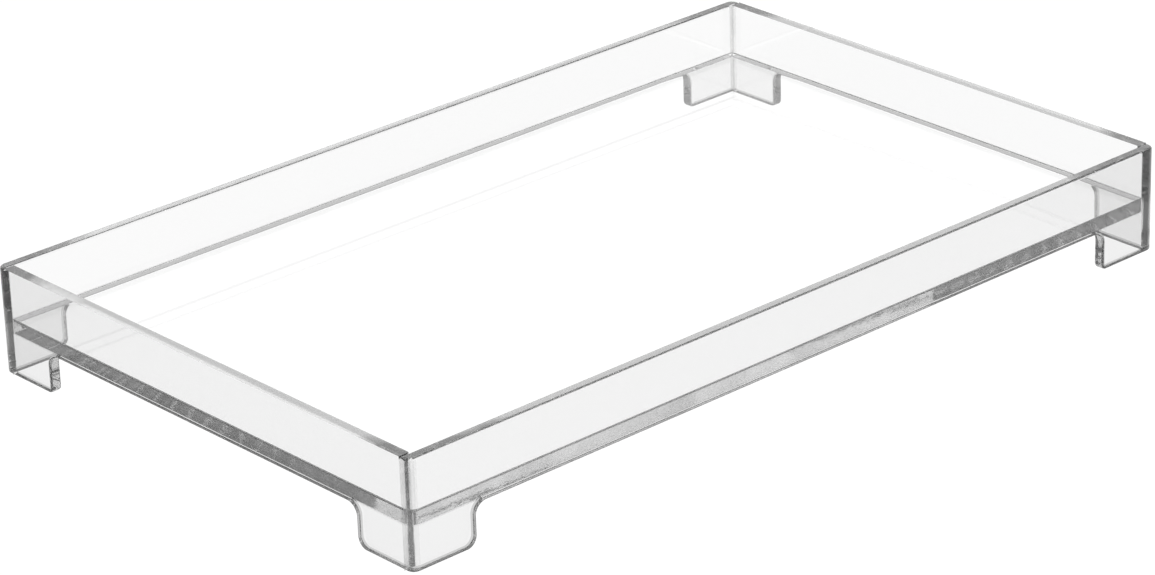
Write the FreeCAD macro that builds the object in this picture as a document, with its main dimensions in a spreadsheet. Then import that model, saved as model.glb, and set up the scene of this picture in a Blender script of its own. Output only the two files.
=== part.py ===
import FreeCAD, Part
import os
import Sketcher

# A clear acrylic vanity tray: a base sheet held inside four walls that stand round it.
# Each wall is one sheet with a foot at each end, so that two walls make an L-shaped foot at
# every corner. The sheets are butted and cemented: the front and back walls run the full
# length, and the left and right walls fit between them.
#
# The origin is the middle of the tray on the surface it stands on, +X runs along the long
# side to the right, +Y to the back and +Z up. All sizes are millimetres.

SIZES = {
    "tray_length": 330,
    "tray_width": 203,
    "tray_height": 37.5,
    "wall_thickness": 4,
    "base_thickness": 5,
    "foot_height": 14,
    "foot_width": 25.5,
    "throat_radius": 4,
    "toe_radius": 2,
    "front_left_toe_radius": 4,
    "corner_radius": 3,
    "polish_radius": 0.8,
    "seam_thickness": 0.15,
    "bead_leg": 0.5,
}

# Lengths that more than one piece shares, as expressions on the sheet.
BASE_TOP = "(Sizes.foot_height + Sizes.base_thickness)"
INNER_LENGTH = "(Sizes.tray_length - 2 * Sizes.wall_thickness)"
INNER_WIDTH = "(Sizes.tray_width - 2 * Sizes.wall_thickness)"
SIDE_WALL_LENGTH = f"({INNER_WIDTH} - 2 * Sizes.seam_thickness)"
SIDE_FOOT_WIDTH = "(Sizes.foot_width - Sizes.wall_thickness - Sizes.seam_thickness)"

# The turn about Z that carries a piece drawn for the front to each side of the tray.
SIDE_TURNS = {"front": 0, "right": 90, "back": 180, "left": -90}
LONG_SIDES = ("front", "back")

TOLERANCE = 0.001

doc = FreeCAD.newDocument("vanity_tray")
bodies = []


def add_sizes():
    """Puts the driving dimensions in a sheet, one named cell each."""
    sheet = doc.addObject("Spreadsheet::Sheet", "Sizes")
    for row, (name, value) in enumerate(SIZES.items(), start=1):
        sheet.set(f"A{row}", name)
        sheet.set(f"B{row}", str(value))
        sheet.setAlias(f"B{row}", name)
    doc.recompute()
    return sheet


sizes = add_sizes()


def value_of(expression):
    """The number that an expression on the sheet gives."""
    return float(sizes.evalExpression(expression))


def add_body(name):
    """Makes an empty body whose label is the piece's name."""
    body = doc.addObject("PartDesign::Body", name)
    body.Label = name
    bodies.append(body)
    return body


def add_polygon(body, name, plane_role, corners, height="0"):
    """Sketches a closed polygon whose corners are pairs of expressions.

    A side between two corners with the same expression is held horizontal or vertical, and
    every other coordinate is a named distance from the origin, bound to the sheet. The
    height lifts the sketch off its plane.
    """
    sketch = body.newObject("Sketcher::SketchObject", name)
    plane = next(item for item in body.Origin.OriginFeatures if item.Role == plane_role)
    sketch.AttachmentSupport = (plane, [""])
    sketch.MapMode = "FlatFace"
    sketch.setExpression("AttachmentOffset.Base.z", height)
    points = [FreeCAD.Vector(value_of(across), value_of(up), 0) for across, up in corners]
    for start, end in zip(points, points[1:] + points[:1]):
        sketch.addGeometry(Part.LineSegment(start, end))
    for index in range(len(corners)):
        side_before = (index - 1) % len(corners)
        sketch.addConstraint(Sketcher.Constraint("Coincident", side_before, 2, index, 1))
    for axis, level, distance in ((0, "Vertical", "DistanceX"), (1, "Horizontal", "DistanceY")):
        for index, corner in enumerate(corners):
            if index and corner[axis] == corners[index - 1][axis]:
                sketch.addConstraint(Sketcher.Constraint(level, index - 1))
                continue
            datum = value_of(corner[axis])
            number = sketch.addConstraint(Sketcher.Constraint(distance, -1, 1, index, 1, datum))
            sketch.renameConstraint(number, f"{distance}_{index}")
            sketch.setExpression(f"Constraints.{distance}_{index}", corner[axis])
    return sketch


def add_pad(body, name, sketch, length, symmetric=False, reverse=False):
    pad = body.newObject("PartDesign::Pad", name)
    pad.Profile = sketch
    pad.setExpression("Length", length)
    pad.SideType = "Symmetric" if symmetric else "One side"
    pad.Reversed = reverse
    doc.recompute()
    return pad


def add_fillet(body, name, middles, radius):
    """Rounds the edges of the body whose middles are at the given points."""
    feature = body.Tip
    edges = []
    for number, edge in enumerate(feature.Shape.Edges, start=1):
        middle = edge.valueAt((edge.FirstParameter + edge.LastParameter) / 2)
        if any(middle.distanceToPoint(point) < TOLERANCE for point in middles):
            edges.append(f"Edge{number}")
    if len(edges) != len(middles):
        raise RuntimeError(f"{body.Label} {name}: found {len(edges)} of {len(middles)} edges")
    fillet = body.newObject("PartDesign::Fillet", name)
    fillet.Base = (feature, edges)
    fillet.setExpression("Radius", radius)
    doc.recompute()
    return fillet


def place_on_side(body, side):
    """Carries a piece drawn with its tray-side outer face on the XZ plane to its side."""
    body.Placement.Rotation = FreeCAD.Rotation(FreeCAD.Vector(0, 0, 1), SIDE_TURNS[side])
    axis, width = ("y", "Sizes.tray_width") if side in LONG_SIDES else ("x", "Sizes.tray_length")
    sign = -1 if side in ("front", "left") else 1
    body.setExpression(f"Placement.Base.{axis}", f"{sign} * {width} / 2")


def add_base_panel():
    """The base sheet, between the four base seams and flush with the walls' lower edge."""
    body = add_body("base_panel")
    half_length = f"({INNER_LENGTH} / 2 - Sizes.seam_thickness)"
    half_width = f"({INNER_WIDTH} / 2 - Sizes.seam_thickness)"
    corners = [
        (f"-{half_length}", f"-{half_width}"),
        (half_length, f"-{half_width}"),
        (half_length, half_width),
        (f"-{half_length}", half_width),
    ]
    outline = add_polygon(body, "base_outline", "XY_Plane", corners, "Sizes.foot_height")
    add_pad(body, "base_sheet", outline, "Sizes.base_thickness")


def add_wall(side, left_toe, right_toe):
    """A wall with a foot at each end. Left and right are as seen from outside the tray."""
    body = add_body(f"{side}_wall")
    is_long = side in LONG_SIDES
    end = "(Sizes.tray_length / 2)" if is_long else f"({SIDE_WALL_LENGTH} / 2)"
    foot_width = "Sizes.foot_width" if is_long else SIDE_FOOT_WIDTH
    foot = f"({end} - {foot_width})"
    corners = [
        (f"-{end}", "0"),
        (f"-{foot}", "0"),
        (f"-{foot}", "Sizes.foot_height"),
        (foot, "Sizes.foot_height"),
        (foot, "0"),
        (end, "0"),
        (end, "Sizes.tray_height"),
        (f"-{end}", "Sizes.tray_height"),
    ]
    outline = add_polygon(body, f"{side}_outline", "XZ_Plane", corners)
    add_pad(body, f"{side}_sheet", outline, "Sizes.wall_thickness", reverse=True)

    middle = value_of("Sizes.wall_thickness / 2")
    foot_end = value_of(foot)
    foot_top = value_of("Sizes.foot_height")
    throats = [FreeCAD.Vector(x, middle, foot_top) for x in (-foot_end, foot_end)]
    add_fillet(body, f"{side}_throats", throats, "Sizes.throat_radius")
    left_edge = [FreeCAD.Vector(-foot_end, middle, 0)]
    right_edge = [FreeCAD.Vector(foot_end, middle, 0)]
    add_fillet(body, f"{side}_left_toe", left_edge, f"Sizes.{left_toe}")
    add_fillet(body, f"{side}_right_toe", right_edge, f"Sizes.{right_toe}")
    if is_long:
        half_height = value_of("Sizes.tray_height / 2")
        uprights = [FreeCAD.Vector(x, 0, half_height) for x in (-value_of(end), value_of(end))]
        add_fillet(body, f"{side}_corners", uprights, "Sizes.corner_radius")
    rim_height = value_of("Sizes.tray_height")
    rim = [FreeCAD.Vector(0, y, rim_height) for y in (0, 2 * middle)]
    add_fillet(body, f"{side}_rim", rim, "Sizes.polish_radius")
    place_on_side(body, side)


def add_base_seam(side):
    """Cement between one edge of the base and its wall, with a bead along the tray floor.

    The front and back seams run the whole inner length, and the left and right seams fit
    between them.
    """
    body = add_body(f"{side}_base_seam")
    is_long = side in LONG_SIDES
    near = "Sizes.wall_thickness"
    far = "(Sizes.wall_thickness + Sizes.seam_thickness)"
    strip = [
        (near, "Sizes.foot_height"),
        (far, "Sizes.foot_height"),
        (far, BASE_TOP),
        (near, BASE_TOP),
    ]
    strip_length = INNER_LENGTH if is_long else SIDE_WALL_LENGTH
    section = add_polygon(body, f"{side}_strip_section", "YZ_Plane", strip)
    add_pad(body, f"{side}_strip", section, strip_length, symmetric=True)
    bead = [
        (near, BASE_TOP),
        (f"({near} + Sizes.bead_leg)", BASE_TOP),
        (near, f"({BASE_TOP} + Sizes.bead_leg)"),
    ]
    bead_length = INNER_LENGTH if is_long else f"({INNER_WIDTH} - 2 * Sizes.bead_leg)"
    section = add_polygon(body, f"{side}_bead_section", "YZ_Plane", bead)
    add_pad(body, f"{side}_bead", section, bead_length, symmetric=True)
    place_on_side(body, side)


def add_corner_seam(long_side, end_name, toward_end):
    """Cement between a long wall and the end of a side wall, with a bead inside the tray.

    It is drawn at one end of the front wall: toward_end is -1 for the end on the left as
    seen from outside, and 1 for the end on the right.
    """
    name = f"{long_side}_{end_name}_corner"
    body = add_body(f"{name}_seam")
    outer = f"({toward_end} * Sizes.tray_length / 2)"
    inner = f"({toward_end} * {INNER_LENGTH} / 2)"
    near = "Sizes.wall_thickness"
    far = "(Sizes.wall_thickness + Sizes.seam_thickness)"
    plate = [(outer, near), (inner, near), (inner, far), (outer, far)]
    section = add_polygon(body, f"{name}_plate_section", "XY_Plane", plate)
    plate_height = "(Sizes.tray_height - Sizes.polish_radius)"
    add_pad(body, f"{name}_plate", section, plate_height)
    bead = [
        (inner, near),
        (f"({inner} - {toward_end} * Sizes.bead_leg)", near),
        (inner, f"({near} + Sizes.bead_leg)"),
    ]
    bead_foot = f"({BASE_TOP} + Sizes.bead_leg)"
    section = add_polygon(body, f"{name}_bead_section", "XY_Plane", bead, bead_foot)
    add_pad(body, f"{name}_bead", section, f"{plate_height} - {bead_foot}")
    place_on_side(body, long_side)


def check_document():
    """Stops if any feature has failed or any piece is not one valid closed solid."""
    failed = [item.Label for item in doc.Objects if {"Invalid", "Error"} & set(item.State)]
    if failed:
        raise RuntimeError(f"failed features: {failed}")
    for body in bodies:
        shape = body.Shape
        if shape.isNull() or not shape.isValid() or len(shape.Solids) != 1:
            raise RuntimeError(f"{body.Label} is not one valid solid")


add_base_panel()
add_wall("front", left_toe="front_left_toe_radius", right_toe="toe_radius")
add_wall("back", left_toe="toe_radius", right_toe="toe_radius")
add_wall("left", left_toe="toe_radius", right_toe="front_left_toe_radius")
add_wall("right", left_toe="toe_radius", right_toe="toe_radius")
for side in SIDE_TURNS:
    add_base_seam(side)
add_corner_seam("front", "left", -1)
add_corner_seam("front", "right", 1)
add_corner_seam("back", "right", -1)
add_corner_seam("back", "left", 1)

doc.recompute()
check_document()
os.makedirs("parts", exist_ok=True)
for body in bodies:
    body.Shape.exportStep(f"parts/{body.Label}.step")
    box = body.Shape.BoundBox
    print(
        f"{body.Label}: {body.Shape.Volume:.2f} mm3, "
        f"x {box.XMin:.2f} {box.XMax:.2f}, y {box.YMin:.2f} {box.YMax:.2f}, z {box.ZMin:.2f} {box.ZMax:.2f}"
    )
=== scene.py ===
import math

import bmesh
import bpy
from mathutils import Matrix, Vector


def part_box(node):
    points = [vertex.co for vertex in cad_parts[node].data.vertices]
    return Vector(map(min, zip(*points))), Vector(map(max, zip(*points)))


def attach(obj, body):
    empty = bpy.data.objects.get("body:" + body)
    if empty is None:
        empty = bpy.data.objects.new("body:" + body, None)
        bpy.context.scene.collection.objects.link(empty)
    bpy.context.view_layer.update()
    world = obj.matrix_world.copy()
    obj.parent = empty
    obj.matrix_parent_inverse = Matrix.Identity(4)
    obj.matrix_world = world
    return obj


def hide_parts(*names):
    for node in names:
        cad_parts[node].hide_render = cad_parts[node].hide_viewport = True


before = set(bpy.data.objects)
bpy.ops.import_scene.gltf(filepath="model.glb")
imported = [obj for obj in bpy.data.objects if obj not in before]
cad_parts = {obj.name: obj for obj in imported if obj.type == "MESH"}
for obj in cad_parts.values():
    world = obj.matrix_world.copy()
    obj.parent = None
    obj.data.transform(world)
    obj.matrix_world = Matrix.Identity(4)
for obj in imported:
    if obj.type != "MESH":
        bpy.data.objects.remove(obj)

# Sizes in metres that the frame's boxes don't give.
FOOT_WIDTH = 0.0255
THROAT_RADIUS = 0.004
TOE_RADIUS = 0.002
FRONT_LEFT_TOE_RADIUS = 0.004
CORNER_RADIUS = 0.003
POLISH_RADIUS = 0.0008
BASE_ARRIS = 0.0005
BEAD_LEG = 0.0005
# Air between the base and its cement, so that the base bends and mirrors light by itself.
AIR_FILM = 0.00002
# The floor lies just under the feet, so that no two faces share a plane.
FLOOR_DROP = 0.0002
FLOOR_REACH = 6

ARC_SEGMENTS = 16
POLISH_SEGMENTS = 4
BEAD_SEGMENTS = 6
# The bevel profile that makes a round.
ROUND_PROFILE = 0.5
# Two places closer together than this are the same.
NEAR = 1e-5
# Edges over the first angle are polished round, and edges under the second are shaded smooth.
POLISHED_ANGLE = math.radians(60)
SHADED_ANGLE = math.radians(35)
# The least part of a face's normal that lies along an axis, for a flat and for a mitred end.
FLAT_FACING = 0.99
MITRE_FACING = 0.5

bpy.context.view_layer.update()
BASE_LOW, BASE_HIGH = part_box("base_panel")
FRONT_LOW, FRONT_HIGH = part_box("front_wall")
LEFT_LOW, LEFT_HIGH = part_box("left_wall")
TRAY_LENGTH = FRONT_HIGH.x - FRONT_LOW.x
TRAY_WIDTH = -2 * FRONT_LOW.y
TRAY_HEIGHT = FRONT_HIGH.z
WALL = FRONT_HIGH.y - FRONT_LOW.y
SEAM = LEFT_LOW.y - FRONT_HIGH.y
SIDE_WALL_LENGTH = LEFT_HIGH.y - LEFT_LOW.y
INNER_LENGTH = TRAY_LENGTH - 2 * WALL
INNER_WIDTH = TRAY_WIDTH - 2 * WALL
GAP_TOP = BASE_LOW.z
FLOOR_TOP = BASE_HIGH.z
BEAD_TOP = FLOOR_TOP + BEAD_LEG
RIM_START = TRAY_HEIGHT - POLISH_RADIUS

# The turn about Z that carries a piece drawn for the front to each side of the tray.
SIDE_TURNS = {"front": 0, "right": 90, "back": 180, "left": -90}
LONG_SIDES = ("front", "back")

# The material slots of a wall, of the base and of a line of cement.
FACE, FOOT, RIM_EDGE, LOWER_EDGE, RIM, SOLE, CORNER, BOND, JOINT = range(9)
BASE_FACE, BASE_EDGE = range(2)
CEMENT, CEMENT_BOND = range(2)

ACRYLIC_IOR = 1.49
# A tint darkens what is seen through a face. The near walls and the feet are tinted darker than
# the far walls: painted shade, for the shadowed floor under the tray seen through them.
BASE_TINT = 1.0
NEAR_SHADED_TINT = 0.88
FAR_TINT = 0.95
NEAR_FOOT_SHADED_TINT = 0.86
FAR_FOOT_SHADED_TINT = 0.8
# The edge tints are painted shade, for the dark lines that light bending at the polished edges
# gives.
RIM_EDGE_SHADED_TINT = 0.92
LOWER_EDGE_SHADED_TINT = 0.42
SOLE_SHADED_TINT = 0.25
# Painted shade: the grey band of the rounded upright corners.
CORNER_SHADED_TINT = 0.78
CEMENT_TINT = 0.95
# The least and the most roughness over a surface.
SHEET_ROUGH = (0.0, 0.004)
BASE_ROUGH = (0.0, 0.02)
EDGE_ROUGH = (0.0, 0.03)
CEMENT_ROUGH = (0.0, 0.05)
RIM_ROUGH = (0.12, 0.15)
CORNER_ROUGH = (0.12, 0.2)
# The share of a surface that is clear. The rest is white haze left by the saw and the sander.
RIM_CLARITY = 0.62
CORNER_CLARITY = 0.85
# The least and the most light that goes through a cemented face. The first pair is for the base
# and the near walls, and the second for the ends of the far walls.
BASE_HAZE = (0.89, 0.95)
CORNER_HAZE = (0.95, 0.98)
# Noise scales per metre, from the slow waves of a sheet to the fine grain of cement.
SHEET_GRAIN = 12
SHADE_MOTTLE_GRAIN = 60
BOND_GRAIN = 90
EDGE_GRAIN = 160
CEMENT_GRAIN = 300
# How many times finer noise is laid over a pattern.
SURFACE_DETAIL = 4
BOND_DETAIL = 3
SHADE_MOTTLE_DETAIL = 2
EDGE_RIPPLE = 0.1
RIPPLE_HEIGHT = 0.0002
# The noise values that a pattern spreads over its whole range.
GRAIN_RANGE = (0.35, 0.75)
HAZE_RANGE = (0.35, 0.65)

# The rim's colour darkens over the feet: painted shade, for the light that comes up through
# the wall less there. Distances are from the middle of the tray, where 1 is the middle of a side
# and the square root of 2 is a corner.
PAINTED_SHADE_FROM, PAINTED_SHADE_TO = 1.24, 1.30
RIM_TINT = 0.98
PAINTED_SHADE_RIM_TINT = 0.30
# Noise that mottles the edge of the painted shade.
PAINTED_SHADE_MOTTLE = 0.08

# The studio is white. Light that the acrylic has mirrored sees it darker, but for a bright patch
# ahead of the camera and one behind it.
WHITE = 1.06
FLOOR_MIRRORED = 0.55
DARK_UP = 0.24
DARK_DOWN = 0.30
HORIZON_BLEND = 0.3
PATCH_EDGE, PATCH_FULL = 0.6, 0.85
MAX_BOUNCES = 64
MAX_CLEAR_BOUNCES = 128

# The camera, in degrees and metres, and its lens and sensor in millimetres.
AZIMUTH = -41.8428
ELEVATION = 24.1644
ROLL = -1.8081
DISTANCE = 1.49794
AIM = Vector((-0.019816, -0.015766, 0.018975))
LENS = 143.828
SENSOR = 36
AHEAD = Vector((-math.sin(math.radians(AZIMUTH)), math.cos(math.radians(AZIMUTH)), 0))


def new_material(name):
    material = bpy.data.materials.new(name)
    material.use_nodes = True
    material.node_tree.nodes.clear()
    return material, material.node_tree.nodes, material.node_tree.links


def object_noise(nodes, links, scale, detail):
    """Noise that stays with the piece."""
    coordinates = nodes.new("ShaderNodeTexCoord")
    noise = nodes.new("ShaderNodeTexNoise")
    noise.inputs["Scale"].default_value = scale
    noise.inputs["Detail"].default_value = detail
    links.new(coordinates.outputs["Object"], noise.inputs["Vector"])
    return noise.outputs["Fac"]


def map_range(nodes, links, value, low, high, to_low, to_high):
    spread = nodes.new("ShaderNodeMapRange")
    spread.inputs["From Min"].default_value = low
    spread.inputs["From Max"].default_value = high
    spread.inputs["To Min"].default_value = to_low
    spread.inputs["To Max"].default_value = to_high
    links.new(value, spread.inputs["Value"])
    return spread


def acrylic(name, tint, rough, grain, ripple, clarity=1):
    """Clear acrylic whose polish varies a little from place to place."""
    material, nodes, links = new_material(name)
    noise = object_noise(nodes, links, grain, SURFACE_DETAIL)
    polish = map_range(nodes, links, noise, *GRAIN_RANGE, *rough)
    shader = nodes.new("ShaderNodeBsdfPrincipled")
    shader.inputs["Base Color"].default_value = (tint, tint, tint, 1)
    shader.inputs["Transmission Weight"].default_value = clarity
    shader.inputs["IOR"].default_value = ACRYLIC_IOR
    links.new(polish.outputs["Result"], shader.inputs["Roughness"])
    if ripple:
        bump = nodes.new("ShaderNodeBump")
        bump.inputs["Strength"].default_value = ripple
        bump.inputs["Distance"].default_value = RIPPLE_HEIGHT
        links.new(noise, bump.inputs["Height"])
        links.new(bump.outputs["Normal"], shader.inputs["Normal"])
    output = nodes.new("ShaderNodeOutputMaterial")
    links.new(shader.outputs["BSDF"], output.inputs["Surface"])
    return material


def sheet_face(name, tint, rough=SHEET_ROUGH):
    """The flat face of cast sheet."""
    return acrylic(name, tint, rough, SHEET_GRAIN, 0)


def polished_edge(name, tint):
    """A sawn edge, polished clear, with a slight ripple left in it. Its tint is painted shade,
    for the dark line that light bending at the edge gives.
    """
    return acrylic(name, tint, EDGE_ROUGH, EDGE_GRAIN, EDGE_RIPPLE)


def corner_round():
    """The rounded upright corners, sanded and less clear than the faces, with a grey tint that
    is painted shade for the band that light bending in the round gives.
    """
    return acrylic(
        "acrylic_corner_painted_shade", CORNER_SHADED_TINT, CORNER_ROUGH, EDGE_GRAIN, EDGE_RIPPLE, CORNER_CLARITY
    )


def rim_top():
    """The satin top edge, with painted shade over the feet, where less light comes up through
    the wall.
    """
    material = acrylic(
        "acrylic_rim_painted_shade", RIM_TINT, RIM_ROUGH, EDGE_GRAIN, EDGE_RIPPLE, RIM_CLARITY
    )
    nodes, links = material.node_tree.nodes, material.node_tree.links
    coordinates = nodes.new("ShaderNodeTexCoord")
    scaled = nodes.new("ShaderNodeVectorMath")
    scaled.operation = "MULTIPLY"
    scaled.inputs[1].default_value = (2 / TRAY_LENGTH, 2 / TRAY_WIDTH, 0)
    links.new(coordinates.outputs["Object"], scaled.inputs[0])
    distance = nodes.new("ShaderNodeVectorMath")
    distance.operation = "LENGTH"
    links.new(scaled.outputs["Vector"], distance.inputs[0])
    # Painted shade: the rim's colour darkens from the middle of the sides towards the corners,
    # with a mottled edge.
    noise = object_noise(nodes, links, SHADE_MOTTLE_GRAIN, SHADE_MOTTLE_DETAIL)
    shade_mottle = map_range(nodes, links, noise, 0, 1, -PAINTED_SHADE_MOTTLE, PAINTED_SHADE_MOTTLE)
    uneven = nodes.new("ShaderNodeMath")
    uneven.operation = "ADD"
    links.new(distance.outputs["Value"], uneven.inputs[0])
    links.new(shade_mottle.outputs["Result"], uneven.inputs[1])
    shade = map_range(
        nodes, links, uneven.outputs["Value"], PAINTED_SHADE_FROM, PAINTED_SHADE_TO, RIM_TINT, PAINTED_SHADE_RIM_TINT
    )
    shader = next(node for node in nodes if node.type == "BSDF_PRINCIPLED")
    links.new(shade.outputs["Result"], shader.inputs["Base Color"])
    return material


def bonded(name, haze):
    """A face cemented to the next sheet: light goes straight on through the joint."""
    material, nodes, links = new_material(name)
    noise = object_noise(nodes, links, BOND_GRAIN, BOND_DETAIL)
    ramp = nodes.new("ShaderNodeValToRGB")
    for element, position, level in zip(ramp.color_ramp.elements, HAZE_RANGE, haze):
        element.position = position
        element.color = (level, level, level, 1)
    links.new(noise, ramp.inputs["Fac"])
    shader = nodes.new("ShaderNodeBsdfTransparent")
    links.new(ramp.outputs["Color"], shader.inputs["Color"])
    output = nodes.new("ShaderNodeOutputMaterial")
    links.new(shader.outputs["BSDF"], output.inputs["Surface"])
    return material


def cured_cement():
    """The open surface of the cement, with the finest grain."""
    return acrylic("acrylic_cement", CEMENT_TINT, CEMENT_ROUGH, CEMENT_GRAIN, EDGE_RIPPLE)


def edges_at(mesh, middles):
    found = []
    for edge in mesh.edges:
        middle = (edge.verts[0].co + edge.verts[1].co) / 2
        if any((middle - point).length < NEAR for point in middles):
            found.append(edge)
    return found


def bevel(mesh, edges, radius, segments):
    bmesh.ops.bevel(
        mesh, geom=edges, offset=radius, offset_type="OFFSET", segments=segments,
        profile=ROUND_PROFILE, affect="EDGES", clamp_overlap=False,
    )


def cut(mesh, faces, point, normal):
    """Splits the given faces along a plane, and returns them with the new ones."""
    # A dict, unlike a set, keeps the order that the mesh items are found in.
    around = dict.fromkeys(item for face in faces for item in (*face.verts, *face.edges, face))
    made = bmesh.ops.bisect_plane(
        mesh, geom=list(around), plane_co=point, plane_no=normal, dist=NEAR
    )
    return [item for item in made["geom"] if isinstance(item, bmesh.types.BMFace)]


def extrude(mesh, points, offset):
    """A prism over the points. Its faces are made in the same order in every run."""
    near = [mesh.verts.new(point) for point in points]
    far = [mesh.verts.new(vert.co + Vector(offset)) for vert in near]
    mesh.faces.new(near)
    mesh.faces.new(far)
    for side in range(len(points)):
        mesh.faces.new((near[side - 1], near[side], far[side], far[side - 1]))
    bmesh.ops.recalc_face_normals(mesh, faces=mesh.faces)


def side_transform(side):
    """Carries a piece drawn with its wall's outer face at y = 0 to its side of the tray."""
    depth = TRAY_WIDTH / 2 if side in LONG_SIDES else TRAY_LENGTH / 2
    turn = Matrix.Rotation(math.radians(SIDE_TURNS[side]), 4, "Z")
    return turn @ Matrix.Translation((0, -depth, 0))


def order_faces(mesh):
    """Sorts the faces by their corners, as a bevel leaves them in a new order in every run."""
    mesh.verts.index_update()
    by_corners = sorted(mesh.faces, key=lambda face: sorted(vert.index for vert in face.verts))
    places = {face: place for place, face in enumerate(by_corners)}
    mesh.faces.sort(key=places.get)


def build_piece(name, mesh, materials, node):
    order_faces(mesh)
    for face in mesh.faces:
        face.smooth = True
    for edge in mesh.edges:
        edge.smooth = edge.calc_face_angle(math.pi) < SHADED_ANGLE
    data = bpy.data.meshes.new(name)
    mesh.to_mesh(data)
    mesh.free()
    for material in materials:
        data.materials.append(material)
    piece = bpy.data.objects.new(name, data)
    bpy.context.scene.collection.objects.link(piece)
    normals = piece.modifiers.new("even_normals", "WEIGHTED_NORMAL")
    normals.keep_sharp = True
    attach(piece, "root")
    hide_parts(node)


def wall_blank(is_long, end, foot, left_toe, right_toe):
    """A wall with a foot at each end, its corners rounded and its edges still square."""
    outline = [
        (-end, 0), (-foot, 0), (-foot, GAP_TOP), (foot, GAP_TOP),
        (foot, 0), (end, 0), (end, TRAY_HEIGHT), (-end, TRAY_HEIGHT),
    ]
    mesh = bmesh.new()
    extrude(mesh, [(x, 0, z) for x, z in outline], (0, WALL, 0))
    middle = WALL / 2
    if is_long:
        uprights = [Vector((x, 0, TRAY_HEIGHT / 2)) for x in (-end, end)]
        bevel(mesh, edges_at(mesh, uprights), CORNER_RADIUS, ARC_SEGMENTS)
    throats = [Vector((x, middle, GAP_TOP)) for x in (-foot, foot)]
    bevel(mesh, edges_at(mesh, throats), THROAT_RADIUS, ARC_SEGMENTS)
    bevel(mesh, edges_at(mesh, [Vector((-foot, middle, 0))]), left_toe, ARC_SEGMENTS)
    bevel(mesh, edges_at(mesh, [Vector((foot, middle, 0))]), right_toe, ARC_SEGMENTS)
    return mesh


def polish_wall(mesh, is_long, end, foot):
    """Rounds the wall's edges, except where another piece is cemented to them."""
    polished = []
    for edge in mesh.edges:
        first, second = (vert.co for vert in edge.verts)
        at_end = min(abs(first.x), abs(second.x)) > end - NEAR
        is_upright = abs(first.z - second.z) > NEAR
        at_joint = at_end and (is_upright or not is_long)
        by_base = first.y > WALL - NEAR and max(first.z, second.z) < GAP_TOP + NEAR
        over_gap = max(abs(first.x), abs(second.x)) < foot - THROAT_RADIUS + NEAR
        if at_joint or (by_base and over_gap):
            continue
        if edge.calc_face_angle() > POLISHED_ANGLE:
            polished.append(edge)
    bevel(mesh, polished, POLISH_RADIUS, POLISH_SEGMENTS)
    bmesh.ops.recalc_face_normals(mesh, faces=mesh.faces)


def cut_inner_face(mesh, end, inner_half):
    """Cuts the wall's inner face along the lines where base, cement and side walls meet it."""
    faces = [
        face for face in mesh.faces
        if all(abs(vert.co.y - WALL) < NEAR for vert in face.verts)
    ]
    for height in (GAP_TOP, BEAD_TOP):
        faces = cut(mesh, faces, (0, 0, height), (0, 0, 1))
    for x in (inner_half, inner_half - BEAD_LEG):
        for sign in (-1, 1):
            if x < end - NEAR:
                faces = cut(mesh, faces, (sign * x, 0, 0), (1, 0, 0))


def wall_slot(centre, is_long, end, inner_half):
    """The material slot of a wall's face, found from the middle of that face."""
    x, y, z = abs(centre.x), centre.y, centre.z
    if abs(y - WALL) < NEAR:
        if GAP_TOP < z < BEAD_TOP and x < inner_half:
            return BOND
        if x > inner_half or (x > inner_half - BEAD_LEG and z > BEAD_TOP):
            return JOINT
        return FACE if z > GAP_TOP else FOOT
    if not is_long and x > end - NEAR:
        return JOINT
    if is_long and x > end - CORNER_RADIUS and POLISH_RADIUS < z < RIM_START:
        return CORNER if y < CORNER_RADIUS else FACE
    if y < NEAR:
        return FACE
    if z < NEAR:
        return SOLE
    if z > TRAY_HEIGHT - NEAR:
        return RIM
    return RIM_EDGE if z > RIM_START else LOWER_EDGE


def add_wall(side, left_toe, right_toe, materials):
    is_long = side in LONG_SIDES
    end = TRAY_LENGTH / 2 if is_long else SIDE_WALL_LENGTH / 2
    foot = end - (FOOT_WIDTH if is_long else FOOT_WIDTH - WALL - SEAM)
    inner_half = INNER_LENGTH / 2 if is_long else INNER_WIDTH / 2
    mesh = wall_blank(is_long, end, foot, left_toe, right_toe)
    polish_wall(mesh, is_long, end, foot)
    cut_inner_face(mesh, end, inner_half)
    for face in mesh.faces:
        face.material_index = wall_slot(face.calc_center_median(), is_long, end, inner_half)
    mesh.transform(side_transform(side))
    build_piece(f"{side}_sheet", mesh, materials, f"{side}_wall")


def add_base(materials):
    mesh = bmesh.new()
    bmesh.ops.create_cube(mesh, size=1)
    size = BASE_HIGH - BASE_LOW
    middle = (BASE_HIGH + BASE_LOW) / 2
    mesh.transform(Matrix.Translation(middle) @ Matrix.Diagonal((*size, 1)))
    bevel(mesh, mesh.edges[:], BASE_ARRIS, POLISH_SEGMENTS)
    for face in mesh.faces:
        is_flat = max(abs(component) for component in face.normal) > FLAT_FACING
        face.material_index = BASE_FACE if is_flat else BASE_EDGE
    build_piece("base_sheet", mesh, materials, "base_panel")


def bead_arc(start, corner, finish):
    """Points of the hollow curve that cement settles into between two faces."""
    start, corner, finish = Vector(start), Vector(corner), Vector(finish)
    centre = start + finish - corner
    points = []
    for step in range(BEAD_SEGMENTS + 1):
        angle = math.pi / 2 * step / BEAD_SEGMENTS
        points.append(
            centre + (start - centre) * math.cos(angle) + (finish - centre) * math.sin(angle)
        )
    return points


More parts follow.
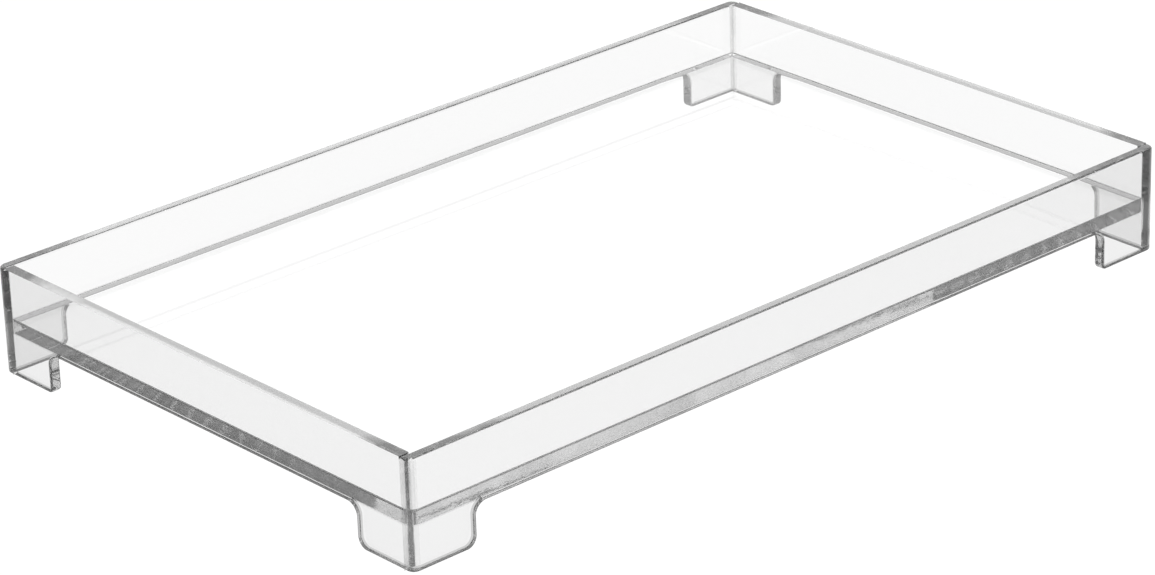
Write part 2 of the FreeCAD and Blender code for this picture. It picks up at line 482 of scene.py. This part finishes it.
def add_base_cement(side, materials):
    """Cement along one edge of the base, mitred at its ends, with a bead inside the tray."""
    half = (INNER_LENGTH if side in LONG_SIDES else INNER_WIDTH) / 2
    lip = FLOOR_TOP + AIR_FILM
    base_side = WALL + SEAM - AIR_FILM
    section = [
        *bead_arc((WALL, BEAD_TOP), (WALL, lip), (WALL + BEAD_LEG, lip)),
        Vector((base_side, lip)),
        Vector((base_side, GAP_TOP)),
        Vector((WALL, GAP_TOP)),
    ]
    mesh = bmesh.new()
    extrude(mesh, [(-half, y, z) for y, z in section], (2 * half, 0, 0))
    for vert in mesh.verts:
        vert.co.x -= math.copysign(vert.co.y - WALL, vert.co.x)
    for face in mesh.faces:
        on_wall = all(abs(vert.co.y - WALL) < NEAR for vert in face.verts)
        near_end = abs(face.calc_center_median().x) > half - BEAD_LEG
        at_mitre = near_end and abs(face.normal.x) > MITRE_FACING
        face.material_index = CEMENT_BOND if on_wall or at_mitre else CEMENT
    mesh.transform(side_transform(side))
    build_piece(f"{side}_base_cement", mesh, materials, f"{side}_base_seam")


def add_corner_cement(long_side, end_name, toward_end, materials):
    """Cement between a side wall's end and a long wall, with a bead inside the tray."""
    outer = TRAY_LENGTH / 2
    inner = INNER_LENGTH / 2
    plate = [(outer, WALL), (outer, WALL + SEAM), (inner, WALL + SEAM), (inner, WALL)]
    bead = bead_arc((inner, WALL + BEAD_LEG), (inner, WALL), (inner - BEAD_LEG, WALL))
    mesh = bmesh.new()
    for section, bottom in ((plate, 0), (bead + [Vector(plate[-1])], BEAD_TOP)):
        points = [(toward_end * x, y, bottom) for x, y in section]
        extrude(mesh, points, (0, 0, RIM_START - bottom))
    cut(mesh, mesh.faces[:], (0, 0, GAP_TOP), (0, 0, 1))
    for face in mesh.faces:
        centre = face.calc_center_median()
        x, y, z = abs(centre.x), centre.y, centre.z
        at_end = x > outer - NEAR or z < NEAR or z > RIM_START - NEAR
        in_foot = abs(x - inner) < NEAR and z < GAP_TOP
        on_bead = x < inner - NEAR and y > WALL + NEAR and z > BEAD_TOP + NEAR
        face.material_index = CEMENT if at_end or in_foot or on_bead else CEMENT_BOND
    mesh.transform(side_transform(long_side))
    name = f"{long_side}_{end_name}_corner"
    build_piece(f"{name}_cement", mesh, materials, f"{name}_seam")


def add_tray():
    """Adds the sheets and their cement. The front and left walls are the near ones."""
    bond = bonded("bonded_base_face", BASE_HAZE)
    joint = bonded("bonded_corner_face", CORNER_HAZE)
    # The edges' dark tints are painted shade for the dark lines along them.
    rim_edge = polished_edge("acrylic_polished_edge_painted_shade", RIM_EDGE_SHADED_TINT)
    lower_edge = polished_edge("acrylic_lower_edge_painted_shade", LOWER_EDGE_SHADED_TINT)
    sole = polished_edge("acrylic_sole_painted_shade", SOLE_SHADED_TINT)
    edges = [rim_edge, lower_edge, rim_top(), sole, corner_round()]
    # The near walls and the feet get darker copies of the sheet: painted shade for the shadowed
    # floor under the tray.
    near_face = sheet_face("acrylic_near_sheet_painted_shade", NEAR_SHADED_TINT)
    near_foot = sheet_face("acrylic_near_foot_painted_shade", NEAR_FOOT_SHADED_TINT)
    far_face = sheet_face("acrylic_far_sheet", FAR_TINT)
    far_foot = sheet_face("acrylic_far_foot_painted_shade", FAR_FOOT_SHADED_TINT)
    base_face = sheet_face("acrylic_base_sheet", BASE_TINT, BASE_ROUGH)
    near_wall = [near_face, near_foot, *edges, bond, bond]
    far_wall = [far_face, far_foot, *edges, bond, joint]
    add_base([base_face, rim_edge])
    add_wall("front", FRONT_LEFT_TOE_RADIUS, TOE_RADIUS, near_wall)
    add_wall("back", TOE_RADIUS, TOE_RADIUS, far_wall)
    add_wall("left", TOE_RADIUS, FRONT_LEFT_TOE_RADIUS, near_wall)
    add_wall("right", TOE_RADIUS, TOE_RADIUS, far_wall)

    cement = cured_cement()
    for side in SIDE_TURNS:
        add_base_cement(side, [cement, bond])
    add_corner_cement("front", "left", -1, [cement, bond])
    add_corner_cement("front", "right", 1, [cement, bond])
    add_corner_cement("back", "right", -1, [cement, joint])
    add_corner_cement("back", "left", 1, [cement, joint])


def mirrored(nodes, links, times):
    """1 for light that has been mirrored at least this many times, and otherwise 0."""
    path = nodes.new("ShaderNodeLightPath")
    over = nodes.new("ShaderNodeMath")
    over.operation = "GREATER_THAN"
    # The depth is a whole number, so the threshold lies halfway under the one that counts.
    over.inputs[1].default_value = times - 0.5
    links.new(path.outputs["Glossy Depth"], over.inputs[0])
    return over.outputs["Value"]


def glow(nodes, strength):
    emission = nodes.new("ShaderNodeEmission")
    emission.inputs["Strength"].default_value = strength
    return emission.outputs["Emission"]


def mix_shaders(nodes, links, share, first, second):
    mix = nodes.new("ShaderNodeMixShader")
    links.new(share, mix.inputs["Fac"])
    links.new(first, mix.inputs[1])
    links.new(second, mix.inputs[2])
    return mix.outputs["Shader"]


def floor_material():
    """White, grey to light mirrored once, and clear to light mirrored more than once."""
    material, nodes, links = new_material("pale_floor")
    once = mirrored(nodes, links, 1)
    more = mirrored(nodes, links, 2)
    clear = nodes.new("ShaderNodeBsdfTransparent").outputs["BSDF"]
    pale = mix_shaders(nodes, links, once, glow(nodes, WHITE), glow(nodes, FLOOR_MIRRORED))
    output = nodes.new("ShaderNodeOutputMaterial")
    links.new(mix_shaders(nodes, links, more, pale, clear), output.inputs["Surface"])
    return material


def add_floor():
    corners = [
        (x * FLOOR_REACH, y * FLOOR_REACH, -FLOOR_DROP)
        for x, y in ((-1, -1), (1, -1), (1, 1), (-1, 1))
    ]
    data = bpy.data.meshes.new("floor")
    data.from_pydata(corners, [], [(0, 1, 2, 3)])
    data.materials.append(floor_material())
    floor = bpy.data.objects.new("floor", data)
    bpy.context.scene.collection.objects.link(floor)


def add_world():
    world = bpy.data.worlds.new("studio")
    bpy.context.scene.world = world
    world.use_nodes = True
    nodes, links = world.node_tree.nodes, world.node_tree.links
    nodes.clear()
    direction = nodes.new("ShaderNodeTexCoord").outputs["Generated"]
    split = nodes.new("ShaderNodeSeparateXYZ")
    links.new(direction, split.inputs["Vector"])
    dark = map_range(
        nodes, links, split.outputs["Z"], -HORIZON_BLEND, HORIZON_BLEND, DARK_DOWN, DARK_UP
    )
    dot = nodes.new("ShaderNodeVectorMath")
    dot.operation = "DOT_PRODUCT"
    dot.inputs[1].default_value = AHEAD
    links.new(direction, dot.inputs[0])
    facing = nodes.new("ShaderNodeMath")
    facing.operation = "ABSOLUTE"
    links.new(dot.outputs["Value"], facing.inputs[0])
    patch = map_range(nodes, links, facing.outputs["Value"], PATCH_EDGE, PATCH_FULL, 0, WHITE)
    patch.interpolation_type = "SMOOTHSTEP"
    links.new(dark.outputs["Result"], patch.inputs["To Min"])
    shade = nodes.new("ShaderNodeMix")
    shade.data_type = "FLOAT"
    shade.inputs["A"].default_value = WHITE
    links.new(mirrored(nodes, links, 1), shade.inputs["Factor"])
    links.new(patch.outputs["Result"], shade.inputs["B"])
    background = nodes.new("ShaderNodeBackground")
    background.inputs["Color"].default_value = (1, 1, 1, 1)
    links.new(shade.outputs["Result"], background.inputs["Strength"])
    output = nodes.new("ShaderNodeOutputWorld")
    links.new(background.outputs["Background"], output.inputs["Surface"])


def add_camera():
    camera = bpy.data.objects.new("camera", bpy.data.cameras.new("camera"))
    camera.data.sensor_width = SENSOR
    camera.data.lens = LENS
    turn = Matrix.Rotation(math.radians(AZIMUTH), 4, "Z")
    tilt = Matrix.Rotation(math.radians(90 - ELEVATION), 4, "X")
    roll = Matrix.Rotation(math.radians(ROLL), 4, "Z")
    rotation = turn @ tilt @ roll
    back_off = Matrix.Translation((0, 0, DISTANCE))
    camera.matrix_world = Matrix.Translation(AIM) @ rotation @ back_off
    bpy.context.scene.collection.objects.link(camera)
    bpy.context.scene.camera = camera


def set_up_view():
    """Lets light cross the many faces inside the sheets, and shows its values as they are."""
    scene = bpy.context.scene
    scene.view_settings.view_transform = "Standard"
    scene.cycles.max_bounces = MAX_BOUNCES
    scene.cycles.transmission_bounces = MAX_BOUNCES
    scene.cycles.glossy_bounces = MAX_BOUNCES
    scene.cycles.transparent_max_bounces = MAX_CLEAR_BOUNCES


add_tray()
add_floor()
add_world()
add_camera()
set_up_view()
